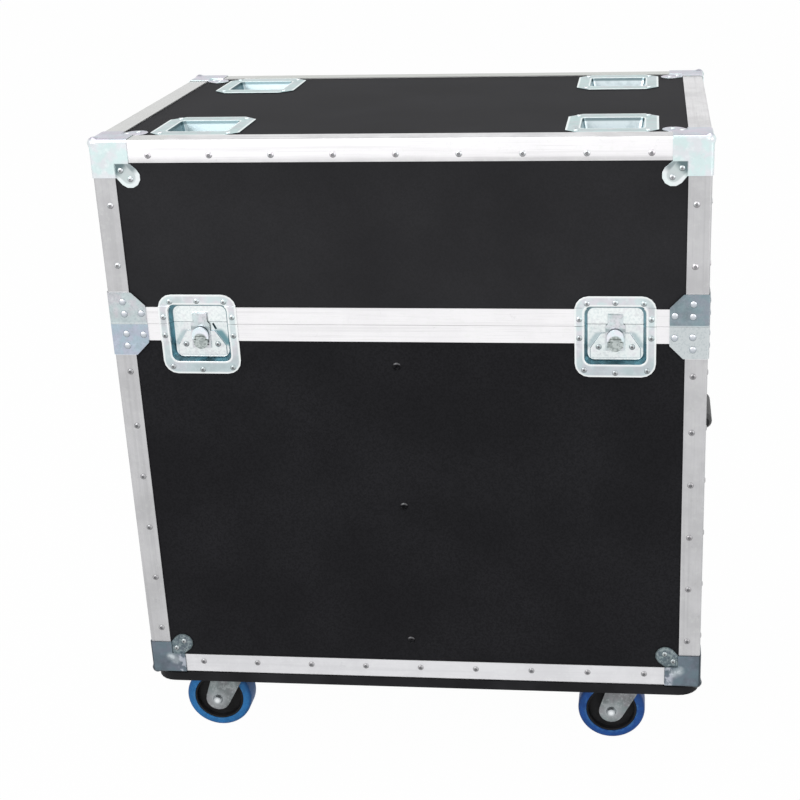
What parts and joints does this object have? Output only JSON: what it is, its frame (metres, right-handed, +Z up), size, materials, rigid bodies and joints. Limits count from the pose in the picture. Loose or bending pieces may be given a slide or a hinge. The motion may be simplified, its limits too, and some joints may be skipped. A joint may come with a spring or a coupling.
{
  "type": "flight case",
  "caption": "Upright wheeled flight case with a hinged lid, recessed butterfly latches, sprung side handles, swivel castors and stacking dishes in its top.",
  "frame": {"origin": "on the floor under the wheels, in the middle of the overall footprint", "axes": "+Z up, -Y out of the front with the latches, +X to the right as seen from the front"},
  "size_m": [0.834, 0.5178, 0.9338],
  "materials": {
    "black_board": "black laminated plywood, fine grain",
    "aluminium": "brushed lengthwise, lightly scuffed",
    "zinc_plate": "bright zinc plate",
    "blue_rubber": "matt elastic blue rubber on a black hub",
    "black_rubber": "matt moulded grip on a plated rod"
  },
  "bodies": {
    "base": {"base_front_panel": "black_board", "base_rear_panel": "black_board", "base_left_panel": "black_board", "base_right_panel": "black_board", "base_floor_panel": "black_board", "base_divider": "black_board", "base_edge_frame": "aluminium", "base_location_frame": "aluminium", "castor_board": "black_board", "base_corner_front_left": "zinc_plate", "base_corner_front_right": "zinc_plate", "base_corner_rear_left": "zinc_plate", "base_corner_rear_right": "zinc_plate", "castor_plate_front_left": "zinc_plate", "castor_plate_front_right": "zinc_plate", "castor_plate_rear_left": "zinc_plate", "castor_plate_rear_right": "zinc_plate", "latch_base_dish_left": "zinc_plate", "latch_base_dish_right": "zinc_plate", "handle_dish_left": "zinc_plate", "handle_dish_right": "zinc_plate", "hinge_base_leaf_left": "zinc_plate", "hinge_base_leaf_right": "zinc_plate", "hinge_pin_left": "zinc_plate", "hinge_pin_right": "zinc_plate"},
    "lid": {"lid_front_panel": "black_board", "lid_rear_panel": "black_board", "lid_left_panel": "black_board", "lid_right_panel": "black_board", "lid_top_panel": "black_board", "lid_edge_frame": "aluminium", "lid_location_frame": "aluminium", "lid_corner_front_left": "zinc_plate", "lid_corner_front_right": "zinc_plate", "lid_corner_rear_left": "zinc_plate", "lid_corner_rear_right": "zinc_plate", "stacking_dish_front_left": "zinc_plate", "stacking_dish_front_right": "zinc_plate", "stacking_dish_rear_left": "zinc_plate", "stacking_dish_rear_right": "zinc_plate", "latch_lid_dish_left": "zinc_plate", "latch_lid_dish_right": "zinc_plate", "hinge_lid_leaf_left": "zinc_plate", "hinge_lid_leaf_right": "zinc_plate"},
    "castor_fork_front_left": {"castor_fork_front_left": "zinc_plate"},
    "castor_wheel_front_left": {"castor_wheel_front_left": "blue_rubber"},
    "castor_fork_front_right": {"castor_fork_front_right": "zinc_plate"},
    "castor_wheel_front_right": {"castor_wheel_front_right": "blue_rubber"},
    "castor_fork_rear_left": {"castor_fork_rear_left": "zinc_plate"},
    "castor_wheel_rear_left": {"castor_wheel_rear_left": "blue_rubber"},
    "castor_fork_rear_right": {"castor_fork_rear_right": "zinc_plate"},
    "castor_wheel_rear_right": {"castor_wheel_rear_right": "blue_rubber"},
    "latch_hook_left": {"latch_hook_left": "zinc_plate"},
    "latch_cam_left": {"latch_cam_left": "zinc_plate"},
    "latch_wing_left": {"latch_wing_left": "zinc_plate"},
    "latch_hook_right": {"latch_hook_right": "zinc_plate"},
    "latch_cam_right": {"latch_cam_right": "zinc_plate"},
    "latch_wing_right": {"latch_wing_right": "zinc_plate"},
    "handle_bail_left": {"handle_bail_left": "black_rubber"},
    "handle_bail_right": {"handle_bail_right": "black_rubber"}
  },
  "joints": [
    {"name": "lid_hinge", "type": "hinge", "parent": "base", "child": "lid", "pos_m": [0, 0.2544, 0.6813], "axis": [-1, 0, 0], "range_deg": [0, 100]},
    {"name": "castor_swivel_front_left", "type": "hinge", "parent": "base", "child": "castor_fork_front_left", "pos_m": [-0.302, -0.1624, 0.11], "axis": [0, 0, 1], "continuous": true},
    {"name": "castor_spin_front_left", "type": "hinge", "parent": "castor_fork_front_left", "child": "castor_wheel_front_left", "pos_m": [-0.331, -0.1624, 0.05], "axis": [0, 1, 0], "continuous": true},
    {"name": "castor_swivel_front_right", "type": "hinge", "parent": "base", "child": "castor_fork_front_right", "pos_m": [0.302, -0.1624, 0.11], "axis": [0, 0, 1], "continuous": true},
    {"name": "castor_spin_front_right", "type": "hinge", "parent": "castor_fork_front_right", "child": "castor_wheel_front_right", "pos_m": [0.273, -0.1624, 0.05], "axis": [0, 1, 0], "continuous": true},
    {"name": "castor_swivel_rear_left", "type": "hinge", "parent": "base", "child": "castor_fork_rear_left", "pos_m": [-0.302, 0.1566, 0.11], "axis": [0, 0, 1], "continuous": true},
    {"name": "castor_spin_rear_left", "type": "hinge", "parent": "castor_fork_rear_left", "child": "castor_wheel_rear_left", "pos_m": [-0.331, 0.1566, 0.05], "axis": [0, 1, 0], "continuous": true},
    {"name": "castor_swivel_rear_right", "type": "hinge", "parent": "base", "child": "castor_fork_rear_right", "pos_m": [0.302, 0.1566, 0.11], "axis": [0, 0, 1], "continuous": true},
    {"name": "castor_spin_rear_right", "type": "hinge", "parent": "castor_fork_rear_right", "child": "castor_wheel_rear_right", "pos_m": [0.273, 0.1566, 0.05], "axis": [0, 1, 0], "continuous": true},
    {"name": "latch_turn_left", "type": "hinge", "parent": "base", "child": "latch_cam_left", "pos_m": [-0.279, -0.2554, 0.6603], "axis": [0, 1, 0], "range_deg": [0, 180]},
    {"name": "latch_hook_slide_left", "type": "slide", "parent": "base", "child": "latch_hook_left", "axis": [0, 0, 1], "range_m": [0, 0.008]},
    {"name": "latch_wing_fold_left", "type": "hinge", "parent": "latch_cam_left", "child": "latch_wing_left", "pos_m": [-0.279, -0.253, 0.6603], "axis": [1, 0, 0], "range_deg": [0, 90]},
    {"name": "latch_turn_right", "type": "hinge", "parent": "base", "child": "latch_cam_right", "pos_m": [0.279, -0.2554, 0.6603], "axis": [0, 1, 0], "range_deg": [0, 180]},
    {"name": "latch_hook_slide_right", "type": "slide", "parent": "base", "child": "latch_hook_right", "axis": [0, 0, 1], "range_m": [0, 0.008]},
    {"name": "latch_wing_fold_right", "type": "hinge", "parent": "latch_cam_right", "child": "latch_wing_right", "pos_m": [0.279, -0.253, 0.6603], "axis": [1, 0, 0], "range_deg": [0, 90]},
    {"name": "handle_fold_left", "type": "hinge", "parent": "base", "child": "handle_bail_left", "pos_m": [-0.394, -0.0029, 0.5053], "axis": [0, 1, 0], "range_deg": [0, 90], "stiffness_Nm_per_rad": 0.3, "springref_deg": -17.19},
    {"name": "handle_fold_right", "type": "hinge", "parent": "base", "child": "handle_bail_right", "pos_m": [0.394, -0.0029, 0.5053], "axis": [0, -1, 0], "range_deg": [0, 90], "stiffness_Nm_per_rad": 0.3, "springref_deg": -17.19}
  ],
  "couplings": [
    {"joint": "latch_turn_left", "follows": "latch_hook_slide_left", "rad_per_m": 392.69},
    {"joint": "latch_turn_right", "follows": "latch_hook_slide_right", "rad_per_m": 392.69}
  ]
}
